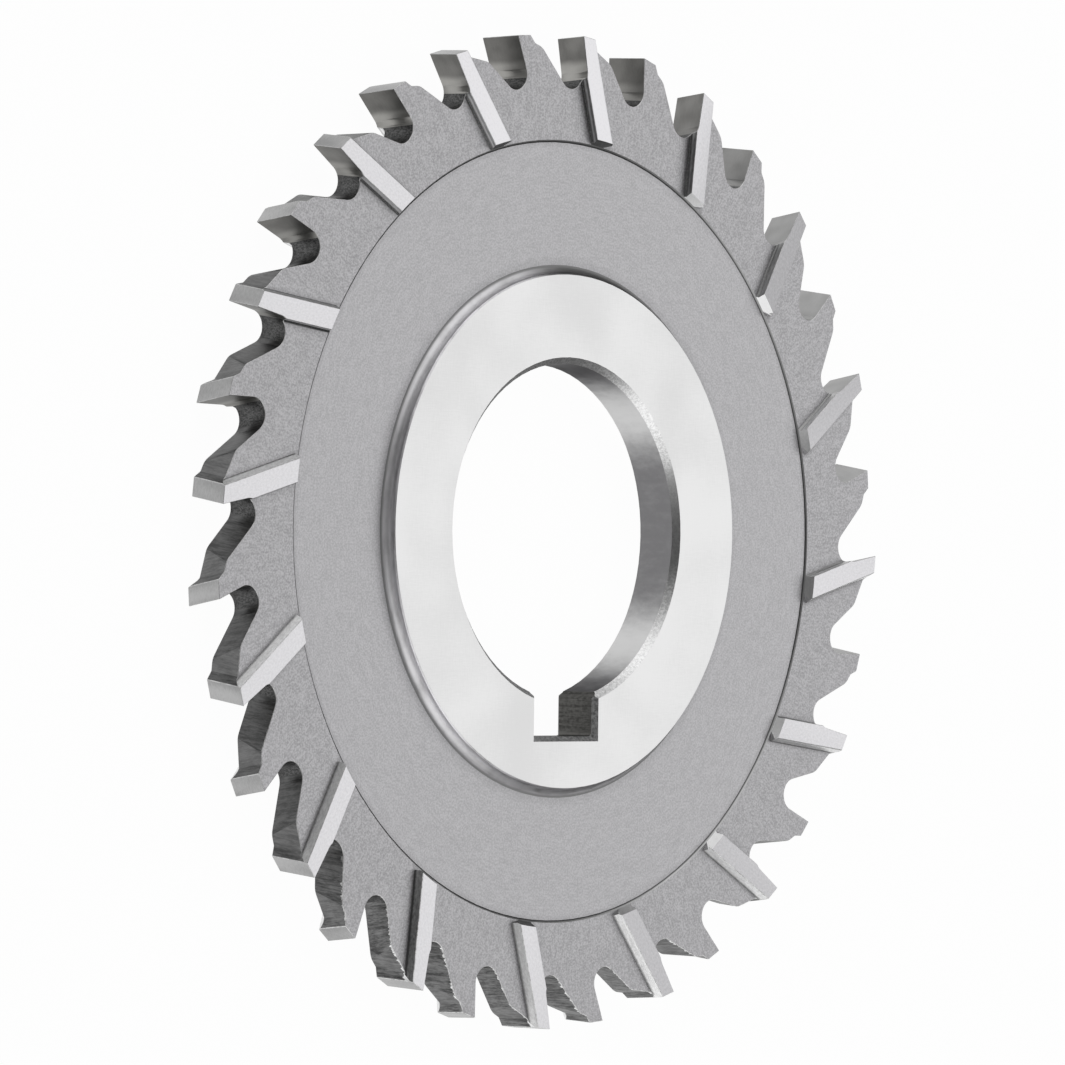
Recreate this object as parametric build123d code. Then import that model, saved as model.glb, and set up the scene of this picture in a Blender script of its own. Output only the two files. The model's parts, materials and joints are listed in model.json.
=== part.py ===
from build123d import *
import os
from math import acos, atan2, cos, hypot, pi, radians, sin, sqrt, tan

# Staggered-tooth side and face milling cutter, one solid.
# Millimetres. The axis of the bore is Z, the lower hub face is at z = 0, and
# the keyway points to -Y. Seen from above the cutter turns counter-clockwise.
# Everything is drawn about the middle plane first and lifted at the end.

# Disc
outer_d = 80.0            # over the tooth tips
tooth_width = 4.0         # over the side lands of both faces
hub_width = 4.3           # the hub faces stand a little proud of the lands
hub_d = 41.5
hub_edge_break = 0.1
hub_foot_radius = 0.7     # fillet from the hub wall to the web
web_thickness = 2.44
tooth_body_thickness = 2.7
tooth_length = 8.5        # from the tips in to the web, along a radius
step_run = 0.2            # width of the small slope from the web up to that face
end_lean = 0.6            # outward run of the side lands' inner ends for each mm of height

# Bore and keyway
bore_d = 27.0
bore_chamfer = 0.5
key_width = 7.1
key_depth = 3.0           # from the round of the bore down to the keyway floor
key_corner_radius = 0.3
key_chamfer = 0.4
key_mouth = 0.4           # the same break on the two edges where slot and bore meet

# Teeth
tooth_count = 32
first_tooth_deg = -1.9    # from the keyway's middle line to the first top-side tip
incline_deg = 10.0        # lean of each cutting edge, alternating in sign
rake_deg = 12.0
gullet_depth = 4.3
gullet_radius = 1.3
land_length = 1.5
land_relief = 0.13        # fall of the land from edge to heel
heel_run = 0.45
heel_drop = 0.68
back_run = 1.72           # from the foot of the heel step to where the gullet wall meets the back
back_deg = 27.0           # slope of that back
hump_radius = 1.2         # rounding where the two meet

# Side lands
side_land_width = 1.76
side_land_lean_deg = 17.4 # from the radius through the tip
side_land_lead = 0.44     # how far ahead of the tip its leading edge would pass
side_land_trailing_draft_deg = 27.0
side_land_foot = 0.15

tip_r = outer_d / 2
root_r = tip_r - tooth_length
half_tooth = tooth_width / 2
half_hub = hub_width / 2
half_web = web_thickness / 2
half_body = tooth_body_thickness / 2
step_deg = 360.0 / tooth_count
pitch = 2 * pi * tip_r / tooth_count
clear = 1.5               # how far the cutting tools reach past the disc


def revolved(points):
    """A turned body from (radius, height) points joined by straight lines."""
    return revolve(make_face(Plane.XZ * Polyline(*points, close=True)), Axis.Z)


def mirrored_profile(points):
    """The upper half of a section, given from bore to rim, and its mirror image."""
    return points + [(r, -z) for r, z in reversed(points)]


def land_end_r(z):
    """Radius of the leaning wall at the inner end of the side lands, at height z."""
    return root_r + end_lean * (z - half_body)


def hub_foot():
    """The quarter-round at the foot of the hub, added as a turned ring."""
    r0 = hub_d / 2
    r1 = r0 + hub_foot_radius
    z1 = half_web + hub_foot_radius
    low = half_web - 0.1
    edges = [
        Line((r0 - 0.1, low), (r1, low)),
        Line((r1, low), (r1, half_web)),
        RadiusArc((r1, half_web), (r0, z1), hub_foot_radius),
        Line((r0, z1), (r0 - 0.1, z1)),
        Line((r0 - 0.1, z1), (r0 - 0.1, low)),
    ]
    return revolve(make_face([Plane.XZ * e for e in edges]), Axis.Z)


def blank():
    """Hub, web and tooth body as turned, with the chamfered bore."""
    bore_r = bore_d / 2
    disc = revolved(mirrored_profile([
        (bore_r, half_hub - bore_chamfer),
        (bore_r + bore_chamfer, half_hub),
        (hub_d / 2 - hub_edge_break, half_hub),
        (hub_d / 2, half_hub - hub_edge_break),
        (hub_d / 2, half_web),
        (root_r - step_run, half_web),
        (root_r, half_body),
        (tip_r + 0.2, half_body),
    ]))
    foot = hub_foot()
    return disc + foot + foot.mirror(Plane.XY)


def side_land():
    """One raised land of the top face, tooth tip on the Y axis.

    A bar of trapezoid section runs along the leaning side edge and is trimmed
    by a turned ring that gives it its round outer end and leaning inner end.
    """
    lean = radians(side_land_lean_deg)
    along = Vector(-sin(lean), cos(lean), 0)
    outer_end = Vector(-side_land_lead, tip_r, 0) + along
    section = Plane(origin=outer_end, x_dir=(cos(lean), sin(lean), 0), z_dir=-along)
    low = half_body - 0.2
    slope = tan(radians(side_land_trailing_draft_deg))
    outline = [
        (0, half_tooth),
        (side_land_width, half_tooth),
        (side_land_width + slope * (half_tooth - low), low),
        (-side_land_foot, low),
        (-side_land_foot, half_body),
        (0, half_body + side_land_foot),
    ]
    bar = extrude(section * make_face(Polyline(*outline, close=True)), tooth_length + 2)
    ring = revolved([
        (land_end_r(low), low),
        (tip_r + 0.2, low),
        (tip_r + 0.2, half_tooth),
        (land_end_r(half_tooth), half_tooth),
    ])
    return bar & ring


def leaning_prism(edges):
    """An outline square to the lean of the tooth, swept along that lean through the disc.

    Its zero point is the middle of the disc below the tip's corner on the top side.
    """
    lean = radians(incline_deg)
    path = Vector(sin(lean), 0, -cos(lean))
    corner = Vector(0, 0, half_tooth)
    reach = 2 * (half_tooth + clear) / cos(lean)
    square = Plane(origin=corner, x_dir=(cos(lean), 0, sin(lean)), z_dir=-path)
    start = square * Pos(0, 0, reach / 4) * make_face(edges)
    return extrude(start, amount=1.25 * reach, dir=path)


def heel_step():
    """Foot of the small step behind the land of a tooth."""
    return Vector(land_length + heel_run, tip_r - land_relief - heel_drop)


def back_at(run):
    """A point of the tooth's back, that far behind the foot of the heel step."""
    return heel_step() + Vector(1, -tan(radians(back_deg))) * run


def gullet():
    """The chip space ahead of a tooth: rake face, round floor, wall up to the tooth ahead."""
    rake = radians(rake_deg)
    centre_y = tip_r - gullet_depth + gullet_radius
    run = (tip_r - centre_y - gullet_radius * sin(rake)) / cos(rake)
    centre = Vector(run * sin(rake) - gullet_radius * cos(rake), centre_y)
    rake_end = centre + Vector(cos(rake), sin(rake)) * gullet_radius
    floor = centre + Vector(0, -gullet_radius)

    # The wall is tangent to the round floor and passes through the hump of the tooth ahead.
    hump = back_at(back_run).rotate(Axis.Z, step_deg)
    to_hump = hump - centre
    swing = atan2(to_hump.Y, to_hump.X) + acos(gullet_radius / to_hump.length)
    wall_start = centre + Vector(cos(swing), sin(swing)) * gullet_radius
    wall_end = wall_start + (hump - wall_start) * ((tip_r - wall_start.Y) / (hump.Y - wall_start.Y))

    top_y = tip_r + clear
    out = Vector(rake_end.X - (top_y - rake_end.Y) * tan(rake), top_y)
    return leaning_prism([
        Line(out, rake_end),
        ThreePointArc(rake_end, floor, wall_start),
        Line(wall_start, wall_end),
        Line(wall_end, (wall_end.X, top_y)),
        Line((wall_end.X, top_y), out),
    ])


def back_relief():
    """What is taken off behind the cutting edge: land, heel step and back."""
    ahead = (-land_length / 2, tip_r + land_relief / 2)
    heel = (land_length, tip_r - land_relief)
    step = heel_step()
    end = back_at((pitch + back_run - step.X) / 2)
    top_y = tip_r + clear
    points = [ahead, heel, step, end, (end.X, top_y), (ahead[0], top_y)]
    return leaning_prism(Polyline(*points, close=True))


def keyway():
    """The slot through the hub with its edges chamfered at both faces."""
    floor_y = bore_d / 2 + key_depth
    wide_y = floor_y + key_chamfer
    slot = Pos(0, -floor_y / 2) * Rectangle(key_width, floor_y)
    slot = fillet(slot.vertices().group_by(Axis.Y)[0], key_corner_radius)
    half = key_width / 2
    wall_end = -sqrt((bore_d / 2) ** 2 - half ** 2)
    mouth = [(half, wall_end - key_mouth), (half + key_mouth, wall_end), (half + key_mouth, 0)]
    slot += make_face(Polyline(*mouth, *[(-x, y) for x, y in reversed(mouth)], close=True))
    through = Pos(0, 0, -half_hub - 1) * extrude(slot, hub_width + 2)
    wide = Pos(0, -wide_y / 2) * Rectangle(key_width + 2 * key_chamfer, wide_y)
    flare = Pos(0, 0, half_hub) * extrude(wide, -key_width / 4, taper=45)
    return through, flare


def around(tool, offset_deg):
    """Copies of a tool for every second tooth."""
    first = first_tooth_deg - 180 + offset_deg
    return [Rot(0, 0, first + 2 * step_deg * i) * tool for i in range(tooth_count // 2)]


def is_hump(edge):
    """The ridge where a tooth back meets the wall of the next gullet.

    Those two lean opposite ways, so of all edges across the rim only this one also rises.
    """
    ends = [edge.position_at(0), edge.position_at(1)]
    across = abs(ends[0].Z - ends[1].Z) > 0.9 * tooth_body_thickness
    rise = abs(hypot(ends[0].X, ends[0].Y) - hypot(ends[1].X, ends[1].Y))
    return across and rise > tooth_body_thickness * tan(radians(incline_deg)) / 4


body = blank()
top_land = side_land()
under_land = top_land.mirror(Plane.XY)
body = body + around(top_land, 0) + around(under_land, step_deg)

top_cuts = [gullet(), back_relief()]
under_cuts = [tool.mirror(Plane.XY) for tool in top_cuts]
for top_tool, under_tool in zip(top_cuts, under_cuts):
    body = body - (around(top_tool, 0) + around(under_tool, step_deg))

body = fillet(body.edges().filter_by(is_hump), hump_radius)

through, flare = keyway()
body = body - [through, flare, flare.mirror(Plane.XY)]

body = Pos(0, 0, half_hub) * body.solid()
os.makedirs("parts", exist_ok=True)
export_step(body, "parts/cutter.step")
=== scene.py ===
import json
from collections import namedtuple
from math import cos, pi, radians, sin, tan

import bmesh
import bpy
import numpy as np
from mathutils import Matrix, Vector


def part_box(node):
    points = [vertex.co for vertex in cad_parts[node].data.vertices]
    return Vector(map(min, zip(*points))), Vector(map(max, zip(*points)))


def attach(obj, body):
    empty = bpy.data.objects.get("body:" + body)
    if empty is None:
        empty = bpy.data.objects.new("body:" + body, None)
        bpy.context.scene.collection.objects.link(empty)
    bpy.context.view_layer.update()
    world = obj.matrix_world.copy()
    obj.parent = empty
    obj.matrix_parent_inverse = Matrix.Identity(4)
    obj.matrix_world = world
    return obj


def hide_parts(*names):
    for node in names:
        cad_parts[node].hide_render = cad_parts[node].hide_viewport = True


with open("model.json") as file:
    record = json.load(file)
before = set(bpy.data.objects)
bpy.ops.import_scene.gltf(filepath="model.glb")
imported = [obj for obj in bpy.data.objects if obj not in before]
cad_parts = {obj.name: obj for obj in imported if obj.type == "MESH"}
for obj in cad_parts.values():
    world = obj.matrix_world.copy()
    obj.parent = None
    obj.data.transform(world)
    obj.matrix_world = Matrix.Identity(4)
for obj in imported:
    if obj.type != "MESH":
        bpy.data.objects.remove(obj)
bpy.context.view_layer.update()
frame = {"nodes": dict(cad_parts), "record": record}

# Looks of the staggered-tooth milling cutter. Metres, in the CAD frame: the axis of the
# bore is Z, the disc lies on its lower hub face, and the keyway points to -Y. The
# materials work in millimetres.

MM = 0.001
low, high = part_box("cutter")
tip_r = high.x
middle_z = (low.z + high.z) / 2
bore_r = frame["record"]["mounts"][0]["dims"]["r_mm"] * MM

# Heights of the flat faces over the middle plane
hub_height = high.z - middle_z
land_height = 2.0 * MM
tooth_height = 1.35 * MM
web_height = 1.22 * MM

# Radii between the zones of the disc, which tell its other faces apart
bore_zone_r = 17.5 * MM
hub_zone_r = 24.0 * MM
web_zone_r = 31.6 * MM
back_zone_r = tip_r - 2.2 * MM
land_zone_r = tip_r - 0.3 * MM

# Turned side of the hub
hub_wall_r = 20.75 * MM
hub_foot_radius = 0.7 * MM
hub_break = 0.1 * MM
hub_steps = 192           # round the axis
hub_foot_points = 13      # along the quarter circle of the foot

# Teeth
tooth_count = 32
first_tooth_deg = -91.9   # every second tooth from this one leads on the upper face
lean_deg = 10.0
land_lean_deg = 17.4
land_lead = 0.44          # mm, how far ahead of the tip the leading edge of a side land would pass
land_foot_width = 2.09    # mm, from that edge to the foot of the sloping flank
edge_break = 0.045 * MM   # of the outward corners of the rim

RIM_FINISHES = {"side_land", "tooth_face", "land_wall", "land_flank", "land", "back", "milled",
                "gullet_floor", "rake"}
LAND_FINISHES = {"side_land", "land_wall", "land_flank", "land_end"}

# Tints of the greys
NEUTRAL = (1.0, 1.0, 1.0)
COOL = (1.0, 0.99, 1.015)
WARM = (1.0, 0.985, 0.94)


def merged_copy(node):
    """The CAD node's loose triangles joined into one closed mesh, as a new mesh."""
    touching = 0.0005 * MM
    joined = bmesh.new()
    joined.from_mesh(node.data)
    bmesh.ops.remove_doubles(joined, verts=joined.verts, dist=touching)
    mesh = bpy.data.meshes.new("cutter_skin")
    joined.to_mesh(mesh)
    joined.free()
    return mesh


def numbers(items, name):
    """One whole number of every item of a mesh, such as a face's material, as an array."""
    array = np.empty(len(items), np.int32)
    items.foreach_get(name, array)
    return array


def vectors(items, name):
    """One vector of every item of a mesh, such as a face's normal, as rows of an array."""
    array = np.empty(len(items) * 3)
    items.foreach_get(name, array)
    return array.reshape(-1, 3)


def finish_of_faces(centre, normal):
    """Number of the finish of each face, from where it is and which way it faces.

    A flat face is told by its height. Any other is told by its radius and by the outward,
    forward and upward parts of its normal, forward being the way the cutter turns.
    """
    radius = np.hypot(centre[:, 0], centre[:, 1])
    height = np.abs(centre[:, 2] - middle_z)
    outward = (normal[:, 0] * centre[:, 0] + normal[:, 1] * centre[:, 1]) / radius
    forward = (normal[:, 1] * centre[:, 0] - normal[:, 0] * centre[:, 1]) / radius
    upward = np.abs(normal[:, 2])
    flat = upward > 0.999
    inside = ~flat & (radius < bore_zone_r)
    rim = ~flat & (radius > hub_zone_r)
    raised = rim & (height > 0.99 * tooth_height)
    rules = [
        ("web", flat),
        ("tooth_face", flat & (height > (web_height + tooth_height) / 2)),
        ("side_land", flat & (height > (tooth_height + land_height) / 2)),
        ("hub_face", flat & (height > (land_height + hub_height) / 2)),
        ("keyway", inside),
        ("keyway_chamfer", inside & (upward > 0.3)),
        ("bore", inside & (outward < -0.99) & (radius < 1.02 * bore_r)),
        ("bore_chamfer", inside & (upward > 0.3) & (outward < -0.69) & (radius < 1.05 * bore_r)),
        ("hub_side", ~flat & ~inside & ~rim),
        ("milled", rim),
        ("gullet_floor", rim & (forward > -0.3)),
        ("back", rim & (outward > 0.83) & (radius > back_zone_r)),
        ("land", rim & (radius > land_zone_r) & (outward > 0.9)),
        ("rake", rim & (forward > 0.94) & (upward > 0.1)),
        ("web_step", rim & (radius < web_zone_r) & (outward < -0.3)),
        ("land_wall", raised & (forward > 0.7) & (upward < 0.05)),
        ("land_flank", raised & (forward < -0.5) & (upward > 0.35)),
        ("land_end", raised & (outward < -0.6) & (radius < web_zone_r + 1.5 * MM)),
    ]
    number = np.zeros(len(centre), np.int32)
    for name, faces in rules:
        number[faces] = FINISHES.index(name)
    return number


def hub_ring(side):
    """The turned side of the hub, above (side 1) or below (side -1), as a mesh.

    A profile carried round the axis. Its foot is a quarter circle from the web to the wall:
    at the angle t the radius is hub_wall_r + hub_foot_radius * (1 - sin t), and the height over
    the web is hub_foot_radius * (1 - cos t). The wall and the 45 degree break follow. Both ends
    stop just short of the web and the hub face, so that they can be joined to them. The corners
    of each face are taken the other way round below, so that it faces outwards there too.
    """
    swing = np.linspace(radians(3), pi / 2, hub_foot_points)
    short = 0.95 * hub_break
    radius = np.append(hub_wall_r + hub_foot_radius * (1 - np.sin(swing)),
                       [hub_wall_r, hub_wall_r - short])
    height = np.append(web_height + hub_foot_radius * (1 - np.cos(swing)),
                       [hub_height - hub_break, hub_height - hub_break + short])
    angle = np.arange(hub_steps) * 2 * pi / hub_steps
    points = np.stack([np.outer(np.cos(angle), radius), np.outer(np.sin(angle), radius),
                       np.tile(middle_z + side * height, (hub_steps, 1))], -1)
    number = np.arange(points.size // 3).reshape(hub_steps, -1)
    ahead = np.roll(number, -1, axis=0)
    faces = np.stack([number[:, :-1], ahead[:, :-1], ahead[:, 1:], number[:, 1:]], -1)
    mesh = bpy.data.meshes.new("hub_ring")
    mesh.from_pydata(points.reshape(-1, 3).tolist(), [], faces.reshape(-1, 4)[:, ::side].tolist())
    return mesh


def refine_hub(joined):
    """Puts finely stepped rings in place of the coarse facets of the hub's sides."""
    finish = FINISHES.index("hub_side")
    coarse = [face for face in joined.faces if face.material_index == finish]
    bmesh.ops.delete(joined, geom=coarse, context="FACES")
    kept = set(joined.faces)
    for side in (1, -1):
        joined.from_mesh(hub_ring(side))
    for upper in (True, False):
        for at_foot in (True, False):
            loops = [edge for edge in joined.edges if edge.is_boundary
                     and (edge.verts[0].co.z > middle_z) == upper
                     and (edge.verts[0].co.xy.length > hub_wall_r) == at_foot]
            bmesh.ops.bridge_loops(joined, edges=loops)
    for face in set(joined.faces) - kept:
        face.material_index = finish
        face.smooth = True
    bmesh.ops.recalc_face_normals(joined, faces=joined.faces)


def flatten(mesh):
    """Joins the triangles of each flat face, refines the hub and sorts the sharp edges.

    The outward corners between faces of the rim are marked to be broken. All other edges that
    turn by more than 20 degrees are marked sharp.
    """
    flat_angle = radians(0.4)
    corner_angle = radians(28)
    sharp_angle = radians(20)
    joined = bmesh.new()
    joined.from_mesh(mesh)
    bmesh.ops.dissolve_limit(joined, angle_limit=flat_angle, delimit={"MATERIAL"},
                             verts=joined.verts, edges=joined.edges)
    refine_hub(joined)
    weight = joined.edges.layers.float.new("bevel_weight_edge")
    for edge in joined.edges:
        pair = {FINISHES[face.material_index] for face in edge.link_faces}
        angle = edge.calc_face_angle_signed()
        if pair <= RIM_FINISHES and angle > corner_angle:
            edge[weight] = 1.0
        elif abs(angle) > sharp_angle:
            edge.smooth = False
    joined.to_mesh(mesh)
    joined.free()


def tooth_marks(mesh):
    """For every face corner, its place in the frame of its own tooth, in millimetres.

    The first two numbers run across the tool marks: distance behind the tip and outward
    distance, after the lean of the tooth is taken out. The third runs along the marks, and
    differs for each tooth. On side lands the frame leans with the land: distance behind its
    leading edge, depth below it, and distance along it. So it does on the tooth faces ahead
    of them, where the second number is the distance behind the foot of the next land.
    """
    centre = vectors(mesh.polygons, "center")
    finish = numbers(mesh.polygons, "material_index")
    corner_count = numbers(mesh.polygons, "loop_total")
    vertex = numbers(mesh.loops, "vertex_index")
    place = vectors(mesh.vertices, "co")[vertex] / MM

    turn = np.degrees(np.arctan2(centre[:, 1], centre[:, 0])) - first_tooth_deg
    step = 360 / tooth_count
    under = centre[:, 2] < middle_z
    on_land = np.isin(finish, [FINISHES.index(name) for name in LAND_FINISHES])
    on_face = finish == FINISHES.index("tooth_face")
    tooth = np.where(on_land, 2 * np.round((turn / step - under) / 2) + under, np.round(turn / step))
    tooth = np.where(on_face, 2 * np.floor((turn / step - under) / 2) + under, tooth)
    leans = np.repeat(on_land | on_face, corner_count)
    tooth = np.repeat(tooth, corner_count)
    shift = 23 * tooth    # takes each tooth to another stretch of the patterns

    def from_tip(tooth):
        """Outward distance along the radius of a tooth, and distance behind that radius."""
        angle = np.radians(first_tooth_deg + step * tooth)
        return (place[:, 0] * np.cos(angle) + place[:, 1] * np.sin(angle),
                place[:, 0] * np.sin(angle) - place[:, 1] * np.cos(angle))

    outward, behind = from_tip(tooth)
    next_outward, next_behind = from_tip(tooth + 2)
    side = np.where(tooth % 2 == 0, 1.0, -1.0)
    depth = land_height / MM - side * (place[:, 2] - middle_z / MM)
    lean = radians(land_lean_deg)
    leading_edge = tip_r / MM * sin(lean) - land_lead * cos(lean)
    past_flank = next_behind * cos(lean) + next_outward * sin(lean) - leading_edge - land_foot_width
    marks = np.where(leans[:, None], np.stack([
        behind * cos(lean) + outward * sin(lean) - leading_edge,
        np.where(np.repeat(on_face, corner_count), past_flank, depth),
        outward * cos(lean) - behind * sin(lean) + shift,
    ], 1), np.stack([
        behind - depth * tan(radians(lean_deg)),
        outward,
        depth + shift,
    ], 1))
    layer = mesh.attributes.new("tooth_marks", "FLOAT_VECTOR", "CORNER")
    layer.data.foreach_set("vector", marks.astype(np.float32).ravel())


class Wire:
    """A socket of a node tree under construction. Arithmetic on it adds Math nodes."""

    def __init__(self, bench, socket):
        self.bench = bench
        self.socket = socket

    def math(self, operation, first, second=0.0):
        return self.bench.add("ShaderNodeMath", {"operation": operation}, [first, second])

    def __add__(self, other):
        return self.math("ADD", self, other)

    def __sub__(self, other):
        return self.math("SUBTRACT", self, other)

    def __rsub__(self, other):
        return self.math("SUBTRACT", other, self)

    def __mul__(self, other):
        return self.math("MULTIPLY", self, other)

    def __truediv__(self, other):
        return self.math("DIVIDE", self, other)

    def __pow__(self, other):
        return self.math("POWER", self, other)

    def __abs__(self):
        return self.math("ABSOLUTE", self)

    __radd__ = __add__
    __rmul__ = __mul__


class Bench:
    """A node tree being built: add() makes any node from its type, settings and inputs."""

    def __init__(self, tree):
        self.tree = tree
        tree.nodes.clear()

    def add(self, kind, settings=None, inputs=(), output=0):
        node = self.tree.nodes.new(kind)
        for name, value in (settings or {}).items():
            setattr(node, name, value)
        pairs = inputs.items() if isinstance(inputs, dict) else enumerate(inputs)
        for name, value in pairs:
            if isinstance(value, Wire):
                self.tree.links.new(value.socket, node.inputs[name])
            else:
                node.inputs[name].default_value = value
        return Wire(self, node.outputs[output])

    def place(self):
        """Object coordinates in millimetres."""
        return self.scaled(self.add("ShaderNodeTexCoord", output="Object"), (1 / MM,) * 3)

    def marks(self):
        """The three numbers of tooth_marks, in millimetres."""
        return self.add("ShaderNodeAttribute", {"attribute_name": "tooth_marks"}, output="Vector")

    def scaled(self, vector, factors):
        """A vector with each of its parts multiplied by its own factor."""
        return self.add("ShaderNodeVectorMath", {"operation": "MULTIPLY"}, [vector, factors])

    def parts(self, vector):
        """The three parts of a vector, as wires."""
        node = self.add("ShaderNodeSeparateXYZ", inputs=[vector]).socket.node
        return [Wire(self, socket) for socket in node.outputs]

    def joined(self, x, y, z):
        """A vector of three parts."""
        return self.add("ShaderNodeCombineXYZ", inputs=[x, y, z])

    def noise(self, vector, cells, detail=2.0, roughness=0.5):
        """Noise between 0 and 1, with so many cells to a millimetre, the same or not on each axis."""
        factors = cells if isinstance(cells, tuple) else (cells,) * 3
        return self.add("ShaderNodeTexNoise", inputs={
            "Vector": self.scaled(vector, factors), "Scale": 1.0,
            "Detail": detail, "Roughness": roughness})

    def clamp(self, value, low_end, high_end):
        """The value eased so that low_end gives 0 and high_end gives 1, and held between them."""
        return self.add("ShaderNodeMapRange", {"interpolation_type": "SMOOTHSTEP"},
                        [value, low_end, high_end, 0.0, 1.0])

    def blend(self, factor, first, second):
        """A colour between two, each given as a colour or as a wire."""
        return self.add("ShaderNodeMix", {"data_type": "RGBA"}, {0: factor, 6: first, 7: second}, 2)

    def relief(self, height, depth):
        """The normal of a surface whose height varies from 0 to 1 over a depth in millimetres."""
        return self.add("ShaderNodeBump", inputs={
            "Strength": 1.0, "Distance": depth * MM, "Height": height})

    def steel(self, colour, roughness, normal=None, edge_on=1.0, metal=1.0):
        """Bare metal. edge_on is how white it gets where it is seen nearly edge on."""
        inputs = {"Base Color": colour, "Metallic": metal, "Roughness": roughness,
                  "Specular Tint": grey(edge_on)}
        if normal is not None:
            inputs["Normal"] = normal
        self.out(self.add("ShaderNodeBsdfPrincipled", inputs=inputs))

    def out(self, shader, kind="ShaderNodeOutputMaterial"):
        """Links the finished shader to a new output."""
        self.tree.links.new(shader.socket, self.tree.nodes.new(kind).inputs[0])


def grey(value, tint=NEUTRAL):
    """An opaque colour: the tint darkened to this value."""
    return tuple(value * share for share in tint) + (1.0,)


Spot = namedtuple("Spot", "radius z east north")


def spot(bench):
    """Where a point of the surface lies: radius and height in millimetres, and direction.

    East and north are the +X and +Y parts of the direction from the axis, from -1 to 1.
    """
    x, y, z = bench.parts(bench.place())
    radius = (x * x + y * y) ** 0.5
    return Spot(radius, z, x / radius, y / radius)


def towards(at, azimuth_deg):
    """1 for a spot on this side of the axis, counted from +X, 0 square to it, and -1 opposite."""
    azimuth = radians(azimuth_deg)
    return at.east * cos(azimuth) + at.north * sin(azimuth)


def height_over_middle(at):
    """Height over the middle plane, or depth under it, in millimetres."""
    return abs(at.z - middle_z / MM)


def turned(bench, across, around):
    """Noise in rings round the axis: fine across the rings, slow along them."""
    at = spot(bench)
    return bench.noise(
        bench.joined((at.radius + at.z) * across, at.east * around, at.north * around), 1, 3.0)


def blasted(bench, dark, light, streaks, corner):
    """Satin grey after a light blast: a fine speckle with streaks in it, with painted shade in corners.

    Streaks and corner run from 0 to 1. Corner is 1 where the painted shade is darkest.
    """
    speckle = bench.noise(bench.place(), 6.5, 1.0)
    mottle = bench.noise(bench.place(), 0.9, 4.0, 0.7)
    tone = bench.clamp(speckle * 0.6 + mottle * 0.15 + streaks * 0.25, 0.34, 0.66)
    satin = bench.blend(tone, grey(dark, COOL), grey(light, COOL))
    # painted shade: the colour that the corners are darkened to
    painted_corner_shade = grey(0.12, COOL)
    bench.steel(bench.blend(corner, satin, painted_corner_shade), 0.38 + 0.14 * speckle,
                bench.relief(speckle, 0.005))


def web_finish(bench):
    """Blasted over the rings of turning, with painted shade at the hub and at the step to the teeth."""
    at = spot(bench)
    rings = bench.noise(bench.joined(at.east * 25, at.north * 25, at.radius * 5), 1, 3.0, 0.6)
    # painted shade along the step to the teeth and round the foot of the hub
    at_step = bench.clamp(at.radius, 30.8, 31.3)
    at_hub = 1 - bench.clamp(at.radius, 21.4, 22.4)
    blasted(bench, 0.41, 0.56, rings, at_step * 0.15 + at_hub * 0.15)


def tooth_face_finish(bench):
    """As the web, with faint scratches that run in from the rim, and painted shade beside the side
    lands and behind their flanks.
    """
    at = spot(bench)
    scratches = bench.noise(bench.joined(at.east * 170, at.north * 170, at.radius * 0.9), 1, 3.0, 0.6)
    behind, past_flank, _ = bench.parts(bench.marks())
    grit = bench.noise(bench.place(), 5.0, 3.0, 0.7)
    # painted shade on the face along each land's leading wall and behind its flank
    near_wall = bench.clamp(behind, -1.4, 0.1) ** 2 * bench.clamp(grit, 0.3, 0.6)
    at_wall = bench.clamp(behind, -0.28, -0.05)
    at_flank = (1 - bench.clamp(past_flank, 0.0, 0.5)) ** 2
    blasted(bench, 0.34, 0.54, scratches, near_wall * 0.3 + at_wall * 0.55 + at_flank * 0.3)


def hub_face_finish(bench):
    """Fine ground: nearly white steel, broad soft patches and faint crossing scratches."""
    patches = bench.noise(bench.place(), 0.12, 1.0)
    one_way = bench.noise(bench.place(), (14.0, 1.2, 1.0), 3.0)
    other_way = bench.noise(bench.place(), (1.1, 13.0, 1.0), 3.0)
    lines = one_way * 0.5 + other_way * 0.5
    tone = bench.clamp(patches * 0.6 + lines * 0.4, 0.35, 0.65)
    dark, light = grey(0.65), grey(0.74)
    bench.steel(bench.blend(tone, dark, light), 0.26 + 0.1 * lines, bench.relief(lines, 0.0012))


def side_land_finish(bench):
    """Ground with a fine wheel: painted darker in two short runs of the rim, and painted a little
    brighter near +Y, as light falls there.
    """
    grain = bench.noise(bench.marks(), (6.0, 1.2, 4.0), 4.0, 0.7)
    at = spot(bench)
    # painted light: darker in two runs of the rim, brighter near +Y
    painted_dim = bench.clamp(towards(at, -15), 0.1, 0.5) * bench.clamp(abs(towards(at, 75)), 0.1, 0.8)
    painted_dim = painted_dim * (1 - 0.35 * bench.clamp(0 - at.north, 0.5, 0.9))
    bright = bench.clamp(at.north, 0.88, 0.97)
    tone = bench.clamp(grain, 0.25, 0.75) * 0.35 + 0.63 - painted_dim * 0.7 + bright * 0.2
    dark, light = grey(0.35, COOL), grey(0.74, COOL)
    bench.steel(bench.blend(tone, dark, light), 0.28 + 0.1 * grain, bench.relief(grain, 0.0015))


def land_finish(bench):
    """Ground top of a tooth, behind its cutting edge: mid grey, with soft shades along the grain."""
    grain = bench.noise(bench.marks(), (3.0, 1.0, 8.0), 4.0, 0.7)
    shade = bench.noise(bench.marks(), (0.5, 0.5, 0.15), 1.0)
    tone = bench.clamp(grain * 0.4 + shade * 0.6, 0.3, 0.7)
    dark, light = grey(0.27), grey(0.48)
    bench.steel(bench.blend(tone, dark, light), 0.32 + 0.1 * grain, bench.relief(grain, 0.0012))


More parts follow.
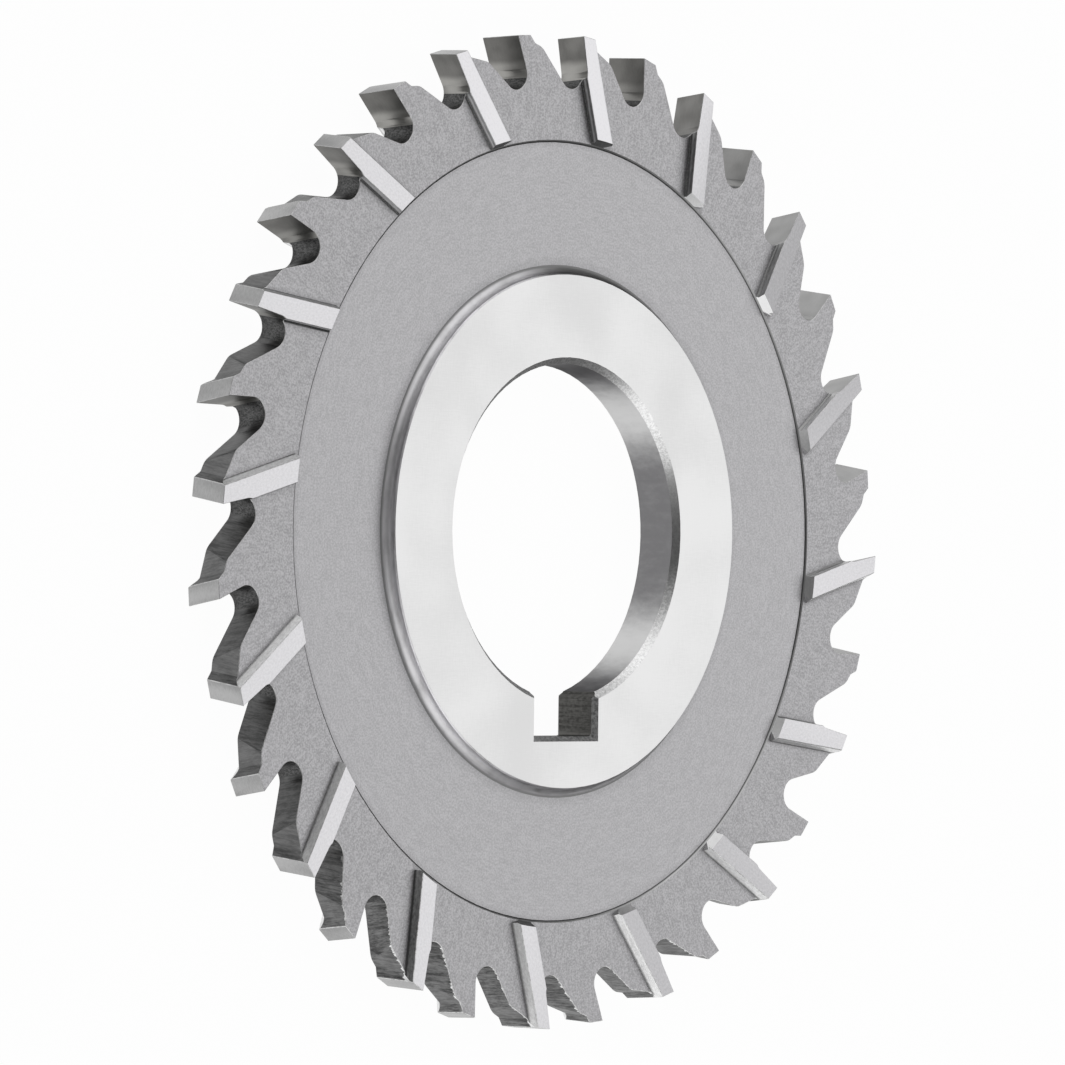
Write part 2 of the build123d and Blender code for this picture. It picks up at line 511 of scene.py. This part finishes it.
def rake_finish(bench):
    """Ground, and painted brighter on the +X side, as light falls there. Elsewhere a lighter band is
    painted low on the face, and the face above it is left darker as painted shade of the gullet.

    The band is fainter towards -X.
    """
    marks = bench.marks()
    _, outward, _ = bench.parts(marks)
    at = spot(bench)
    grain = bench.noise(marks, (8.0, 1.0, 6.0), 4.0, 0.7)
    patches = bench.noise(marks, (0.6, 0.6, 0.5), 1.0)
    # painted light: a lighter band low on the face, with painted shade above it
    painted_lit_band = 1 - bench.clamp(outward + patches * 0.7, 37.9, 38.6)
    painted_lit_band = painted_lit_band * (1 - bench.clamp(at.east, 0.1, 0.5))
    painted_lit_band = painted_lit_band * (1 - 0.5 * bench.clamp(0 - at.east, 0.5, 0.8))
    tone = bench.clamp(grain * 0.3 + patches * 0.7, 0.3, 0.7) * 0.2 + painted_lit_band * 0.55
    # painted light on the +X side
    tone = tone + bench.clamp(at.east, 0.3, 0.9) * 0.67
    dark = grey(0.14, WARM)
    light = bench.blend(bench.clamp(at.east, 0.2, 0.7), grey(0.5, WARM), grey(0.5))
    bench.steel(bench.blend(tone, dark, light), 0.38 + 0.08 * grain, bench.relief(grain, 0.001),
                edge_on=0.8)


def painted_bright_side(bench):
    """1 on the -Y side of the rim, where lighter walls and highlights along the edges are painted, and
    0 elsewhere.
    """
    return bench.clamp(0 - spot(bench).north, 0.6, 0.9)


def tool_marks(bench, dark, light):
    """As milled: ridges that run across the rim along the lean, over a soft staining.

    On the -Y side the walls are painted lighter, as light falls there, and a bright torn line along the
    edge with the upper face is a burred edge with a painted highlight.
    """
    marks = bench.marks()
    # painted light on the -Y side: lighter walls and a highlight along the top edge
    painted_light = painted_bright_side(bench)
    torn = bench.clamp(bench.noise(marks, (3.0, 3.0, 0.7), 4.0, 0.7), 0.4, 0.7)
    burr_and_highlight = bench.clamp(spot(bench).z - (middle_z + tooth_height) / MM + 0.3 * torn, 0.0, 0.05) * painted_light
    ridges = bench.noise(marks, (5.0, 5.0, 0.5), 5.0, 0.7)
    grain = bench.noise(marks, (9.0, 9.0, 3.0), 3.0, 0.6)
    stains = bench.noise(marks, (0.9, 0.9, 0.7), 2.0)
    tone = bench.clamp(ridges * 0.6 + grain * 0.2 + stains * 0.2, 0.37, 0.63)
    milled = bench.blend(tone, grey(dark), bench.blend(painted_light, grey(light), grey(0.25)))
    bench.steel(bench.blend(burr_and_highlight, milled, grey(0.9)), 0.34 + 0.2 * ridges,
                bench.relief(ridges * 0.6 + grain * 0.4, 0.01), edge_on=0.95)


def milled_finish(bench):
    """Walls of the gullets and heel steps."""
    tool_marks(bench, 0.06, 0.145)


def back_finish(bench):
    """Rounded backs of the teeth, more worn and lighter than the walls."""
    tool_marks(bench, 0.11, 0.2)


def gullet_floor_finish(bench):
    """Left rough: dark and gritty, and painted lighter on the +X side, as light falls there."""
    grit = bench.noise(bench.marks(), (8.0, 8.0, 5.0), 3.0, 0.7)
    # painted light on the +X side
    tone = bench.clamp(grit, 0.36, 0.64) * 0.3 + bench.clamp(spot(bench).east, 0.2, 1.0) * 0.7
    dark, light = grey(0.055), grey(0.36)
    bench.steel(bench.blend(tone, dark, light), 0.36 + 0.2 * grit, bench.relief(grit, 0.008),
                edge_on=0.6)


def land_wall_finish(bench):
    """Leading wall of a side land, painted lighter on the +X and -X sides of the disc, as light falls
    there.

    A painted reflection runs along it as a lighter line at mid depth, fainter on the +X side.
    """
    marks = bench.marks()
    _, depth, _ = bench.parts(marks)
    at = spot(bench)
    grain = bench.noise(marks, (6.0, 6.0, 1.5), 4.0, 0.7)
    # painted reflection: a lighter line at mid depth
    line = (1 - bench.clamp(abs(depth - 0.33), 0.03, 0.14)) * (1 - 0.8 * bench.clamp(at.east, 0.2, 0.7))
    # painted light on the +X and -X sides
    painted_light = bench.clamp(abs(towards(at, -15)), 0.25, 0.9)
    tone = bench.clamp(grain, 0.3, 0.7) * 0.35 + line * 0.6 + painted_light * 0.55
    dark, light = grey(0.2), grey(0.88)
    bench.steel(bench.blend(tone, dark, light), 0.42 + 0.15 * grain, bench.relief(grain, 0.003))


def land_flank_finish(bench):
    """Sloping flank of a side land: ground bright, with painted shade along its foot, darker towards
    +Y.

    On one land it is dark all over.
    """
    marks = bench.marks()
    _, depth, _ = bench.parts(marks)
    at = spot(bench)
    grain = bench.noise(marks, (6.0, 6.0, 3.0), 4.0, 0.7)
    one_land = bench.clamp(0 - at.north, 0.8, 0.88) * bench.clamp(0 - at.east, 0.27, 0.38)
    # painted shade along the foot of the flank
    foot = bench.clamp(depth, 0.45, 0.62)
    darkening = one_land * 0.6 + bench.clamp(at.north, -0.1, 0.7) * 0.5 + foot * 0.6
    tone = bench.clamp(grain, 0.3, 0.7) * 0.25 + 0.68 - darkening
    dark, light = grey(0.12), grey(0.98)
    bench.steel(bench.blend(tone, dark, light), 0.38 + 0.15 * grain, bench.relief(grain, 0.002))


def land_end_finish(bench):
    """Inner end of a side land, cut by the turning tool, with painted light: light on the +X side, dark
    on the other.

    It is painted a little darker again at +X itself.
    """
    east = spot(bench).east
    grain = bench.noise(bench.marks(), (6.0, 6.0, 3.0), 4.0, 0.7)
    # painted light and shade by the side of the disc
    tone = bench.clamp(east, 0.0, 0.6) - bench.clamp(east, 0.93, 0.99) * 0.4 + (grain - 0.5) * 0.4
    dark, light = grey(0.12), grey(0.85)
    bench.steel(bench.blend(tone, dark, light), 0.36 + 0.15 * grain, bench.relief(grain, 0.002))


def hub_side_finish(bench):
    """Turned wall and foot of the hub, with painted shade at the very foot, bright above, and a painted
    dark reflection on the +Y side.
    """
    rings = turned(bench, 6.0, 12.0)
    at = spot(bench)
    height = height_over_middle(at)
    # painted shade in a thin line at the very foot
    foot = bench.clamp(height, 1.22, 1.28)
    wall = bench.clamp(height, 1.45, 1.75)
    top_break = bench.clamp(height, 2.04, 2.07)
    # painted dark reflection on the +Y side
    darkening = bench.clamp(towards(at, 70) + (rings - 0.5) * 0.1, 0.82, 0.95)
    tone = (foot * 0.6 + wall * 0.4) * bench.clamp(rings, -0.2, 0.7) * (1 - darkening) - top_break * 0.3
    dark, light = grey(0.22), grey(0.98, COOL)
    bench.steel(bench.blend(tone, dark, light), 0.36 + 0.14 * rings, bench.relief(rings, 0.006),
                edge_on=0.0)


def web_step_finish(bench):
    """Turned step from the web up to the tooth faces, with painted shade along its foot."""
    rings = turned(bench, 9.0, 5.0)
    # painted shade along the foot of the step
    rise = bench.clamp(height_over_middle(spot(bench)), 1.24, 1.32)
    tone = rise * (0.6 + 0.4 * bench.clamp(rings, 0.3, 0.7))
    dark, light = grey(0.07), grey(0.48)
    bench.steel(bench.blend(tone, dark, light), 0.28 + 0.12 * rings, bench.relief(rings, 0.002),
                edge_on=0.4)


def painted_reflection_bands(bench):
    """Four soft lighter bands of painted reflection round the bore, 1 in their middle and 0 between
    them.

    The sine of twice the angle from the azimuth of 2 degrees, to the power of 6, written with
    the cosine c of that angle.
    """
    c = towards(spot(bench), 2)
    return (4 * c * c - 4 * c ** 4) ** 3


def bore_finish(bench):
    """Honed bore, with painted reflections in bands along the axis, and a faint cloudiness."""
    at = spot(bench)
    clouds = bench.noise(bench.place(), (1.3, 1.3, 0.8), 4.0, 0.65)
    streaks = bench.noise(bench.joined(at.east * 30, at.north * 30, at.z * 0.3), 1, 3.0)
    tone = bench.clamp(painted_reflection_bands(bench) + (clouds - 0.5) * 0.5 + (streaks - 0.5) * 0.2, -0.1, 1.1)
    dark, light = grey(0.19, COOL), grey(0.66)
    bench.steel(bench.blend(tone, dark, light), 0.26 + 0.12 * clouds, bench.relief(streaks, 0.0012),
                edge_on=0.25)


def bore_chamfer_finish(bench):
    """Countersunk edge with a gritty grain: painted darker at +X, and painted lighter in the reflection
    bands on either side.
    """
    grit = bench.noise(bench.place(), 5.0, 4.0, 0.8)
    at = spot(bench)
    # painted shade at +X, and painted reflection in the bands
    painted_dim = bench.clamp(towards(at, 4), 0.92, 0.98)
    painted_light = painted_reflection_bands(bench) * bench.clamp(at.east, 0.3, 0.6)
    tone = (bench.clamp(grit, 0.36, 0.64) * 0.5 + 0.25 + painted_light * 0.4) * (1 - 0.75 * painted_dim)
    dark, light = grey(0.24), grey(0.85)
    bench.steel(bench.blend(tone, dark, light), 0.32 + 0.15 * grit, bench.relief(grit, 0.005),
                edge_on=0.2)


def keyway_finish(bench):
    """Broached: dark, with uneven straight marks along the axis."""
    lines = bench.noise(bench.place(), (1.8, 1.8, 0.1), 6.0, 0.8)
    grain = bench.noise(bench.place(), (5.0, 5.0, 3.0), 3.0, 0.6)
    tone = bench.clamp(lines * 0.7 + grain * 0.3, 0.36, 0.62)
    dark, light = grey(0.04, WARM), grey(0.13, WARM)
    bench.steel(bench.blend(tone, dark, light), 0.34 + 0.2 * lines, bench.relief(lines, 0.01),
                edge_on=0.6)


def keyway_chamfer_finish(bench):
    """Filed by hand: a coarse, uneven grain."""
    filed = bench.noise(bench.place(), 4.0, 4.0, 0.75)
    dark, light = grey(0.17), grey(0.46)
    bench.steel(bench.blend(bench.clamp(filed, 0.32, 0.66), dark, light), 0.36 + 0.2 * filed,
                bench.relief(filed, 0.008), edge_on=0.5)


def edge_finish(bench):
    """Broken edge, close to its faces in tone. On the -Y side a torn line, whiter and less metallic, is
    a burred edge with a painted highlight.
    """
    wear = bench.clamp(bench.noise(bench.place(), 2.5, 4.0, 0.7), 0.42, 0.58)
    # painted highlight along the edges on the -Y side
    painted_highlight_side = painted_bright_side(bench)
    burr_and_highlight = wear * painted_highlight_side
    tone = 0.3 * wear + 0.35 * painted_highlight_side + 0.65 * burr_and_highlight
    dark, light = grey(0.42), grey(0.95)
    bench.steel(bench.blend(tone, dark, light), 0.4 + 0.2 * burr_and_highlight, metal=1 - 0.5 * painted_highlight_side - 0.4 * burr_and_highlight)


MAKERS = {
    "hub_face": hub_face_finish,
    "side_land": side_land_finish,
    "tooth_face": tooth_face_finish,
    "web": web_finish,
    "bore": bore_finish,
    "bore_chamfer": bore_chamfer_finish,
    "keyway": keyway_finish,
    "keyway_chamfer": keyway_chamfer_finish,
    "hub_side": hub_side_finish,
    "web_step": web_step_finish,
    "land_wall": land_wall_finish,
    "land_flank": land_flank_finish,
    "land_end": land_end_finish,
    "land": land_finish,
    "back": back_finish,
    "milled": milled_finish,
    "gullet_floor": gullet_floor_finish,
    "rake": rake_finish,
    "edge": edge_finish,
}
FINISHES = list(MAKERS)   # a face's material index is its finish's place here


def finish_material(name):
    """The material of one finish."""
    material = bpy.data.materials.new("steel_" + name)
    material.use_nodes = True
    MAKERS[name](Bench(material.node_tree))
    return material


def cutter_skin():
    """The shown cutter: the CAD form with a finish for each kind of face and broken edges."""
    mesh = merged_copy(frame["nodes"]["cutter"])
    finish = finish_of_faces(vectors(mesh.polygons, "center"), vectors(mesh.polygons, "normal"))
    mesh.polygons.foreach_set("material_index", finish)
    mesh.shade_smooth()
    flatten(mesh)
    tooth_marks(mesh)
    for name in FINISHES:
        mesh.materials.append(finish_material(name))
    skin = bpy.data.objects.new("cutter_skin", mesh)
    bpy.context.scene.collection.objects.link(skin)

    rounding = skin.modifiers.new("edge_break", "BEVEL")
    rounding.width = edge_break
    rounding.segments = 1
    rounding.limit_method = "WEIGHT"
    rounding.use_clamp_overlap = False
    rounding.material = FINISHES.index("edge")
    weight = skin.modifiers.new("flat_faces", "WEIGHTED_NORMAL")
    weight.keep_sharp = True
    weight.weight = 100
    return skin


skin = cutter_skin()
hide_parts("cutter")
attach(skin, "root")


# Stage
KEY = (1, 41)             # azimuth and elevation of the key light, which the disc mirrors to the camera
WHITE_WATTS = 4.0         # to a square metre of lamp, for a face that looks white in a mirror


def floor():
    """A square sheet under the cutter that shows white and keeps a faint shadow."""
    half = 3.0
    gap = 0.01 * MM
    white_share = 0.97    # the rest is matt, and takes the shadow
    corners = np.array([(-1, -1, 0), (1, -1, 0), (1, 1, 0), (-1, 1, 0)], float) * half
    corners[:, 2] = low.z - gap
    mesh = bpy.data.meshes.new("floor")
    mesh.from_pydata(corners.tolist(), [], [(0, 1, 2, 3)])
    material = bpy.data.materials.new("floor")
    material.use_nodes = True
    bench = Bench(material.node_tree)
    matt = bench.add("ShaderNodeBsdfDiffuse", inputs={"Color": grey(0.9)})
    glow = bench.add("ShaderNodeEmission", inputs={"Color": grey(1.0), "Strength": 1.0})
    bench.out(bench.add("ShaderNodeMixShader", inputs=[seen(bench) * white_share, matt, glow]))
    mesh.materials.append(material)
    sheet = bpy.data.objects.new("floor", mesh)
    bpy.context.scene.collection.objects.link(sheet)


def seen(bench):
    """1 for rays that come from the camera or are mirrored or let through by the object."""
    paths = bench.add("ShaderNodeLightPath").socket.node.outputs
    camera_ray, mirrored, let_through = [
        Wire(bench, paths[name]) for name in ("Is Camera Ray", "Is Glossy Ray", "Is Transmission Ray")]
    return bench.add("ShaderNodeClamp", inputs=[camera_ray + mirrored + let_through, 0.0, 1.0])


def direction(azimuth_deg, elevation_deg):
    """Unit vector: azimuth from +X towards +Y, elevation above the disc."""
    a = radians(azimuth_deg)
    e = radians(elevation_deg)
    return Vector((cos(a) * cos(e), sin(a) * cos(e), sin(e)))


def softbox(name, azimuth_deg, elevation_deg, width, brightness, distance=0.9):
    """A square lamp aimed at the cutter. At brightness 1 its face looks white in a mirror."""
    light = bpy.data.lights.new(name, "AREA")
    light.shape = "SQUARE"
    light.size = width
    light.energy = brightness * WHITE_WATTS * width * width
    lamp = bpy.data.objects.new(name, light)
    away = direction(azimuth_deg, elevation_deg)
    lamp.location = away * distance
    lamp.rotation_euler = away.to_track_quat("Z", "Y").to_euler()
    bpy.context.scene.collection.objects.link(lamp)


def studio():
    """Soft room light: dim all round, brighter where the key light hangs; white to the camera."""
    dim, more = 0.17, 0.06
    world = bpy.data.worlds.new("studio")
    world.use_nodes = True
    bench = Bench(world.node_tree)
    x, y, z = bench.parts(bench.add("ShaderNodeTexCoord", output="Generated"))
    key = direction(*KEY)
    room = dim + more * bench.clamp(x * key.x + y * key.y + z * key.z, 0.75, 1.0)
    camera_ray = bench.add("ShaderNodeLightPath", output="Is Camera Ray")
    strength = camera_ray + (1 - camera_ray) * room
    bench.out(bench.add("ShaderNodeBackground", inputs=[grey(1.0), strength]), "ShaderNodeOutputWorld")
    bpy.context.scene.world = world


def camera():
    """The photograph's view: from the -X side, rolled a quarter turn so that +Y is up."""
    photo_width = 1065
    focal_length = 6900       # in pixels of the photograph
    target = Vector((0.22, -0.09, 0.25)) * MM
    away = direction(181.06, 41.23)
    distance = 557.7 * MM
    roll = radians(90)
    data = bpy.data.cameras.new("camera")
    data.sensor_width = 36
    data.lens = data.sensor_width * focal_length / photo_width
    data.clip_start = 0.01
    data.clip_end = 20
    view = bpy.data.objects.new("camera", data)
    turn = away.to_track_quat("Z", "Y").to_matrix() @ Matrix.Rotation(roll, 3, "Z")
    view.matrix_world = Matrix.Translation(target + away * distance) @ turn.to_4x4()
    bpy.context.scene.collection.objects.link(view)
    bpy.context.scene.camera = view


floor()
studio()
softbox("key", *KEY, 0.75, 0.76)
softbox("top", 82, 35, 1.0, 0.9)
softbox("bottom", 253, 34, 1.05, 0.9)
camera()
bpy.context.scene.view_settings.view_transform = "Standard"
